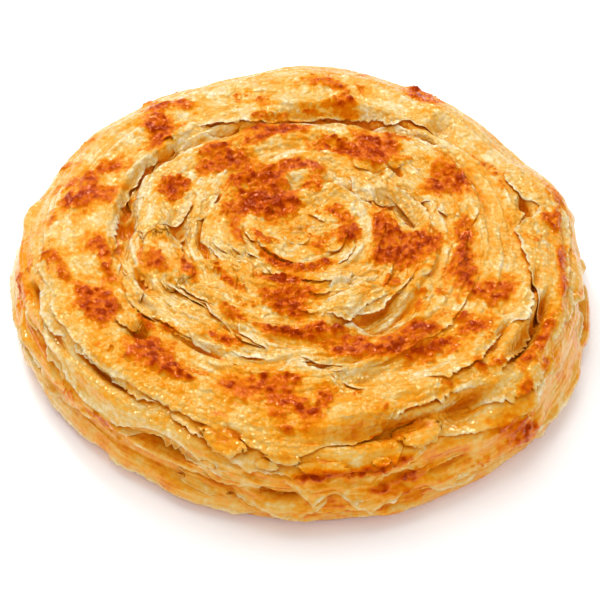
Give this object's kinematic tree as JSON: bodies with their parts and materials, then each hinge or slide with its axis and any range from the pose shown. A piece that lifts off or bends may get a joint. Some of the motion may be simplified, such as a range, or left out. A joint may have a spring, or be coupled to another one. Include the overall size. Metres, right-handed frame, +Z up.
{
  "type": "paratha flatbread",
  "caption": "Round coiled flaky flatbread, pan-fried, with a spiral of folded layers on top, layered sides and a flat underside.",
  "frame": {"origin": "middle of the flat underside", "axes": "+Z up out of the browned top face, -Y towards the picture's near side, +X to its right"},
  "size_m": [0.1582, 0.163, 0.0283],
  "materials": {
    "fried_dough": "pan-fried flaky dough, glossy with oil, browned in blistered patches"
  },
  "bodies": {
    "root": {"paratha": "fried_dough"}
  },
  "joints": []
}
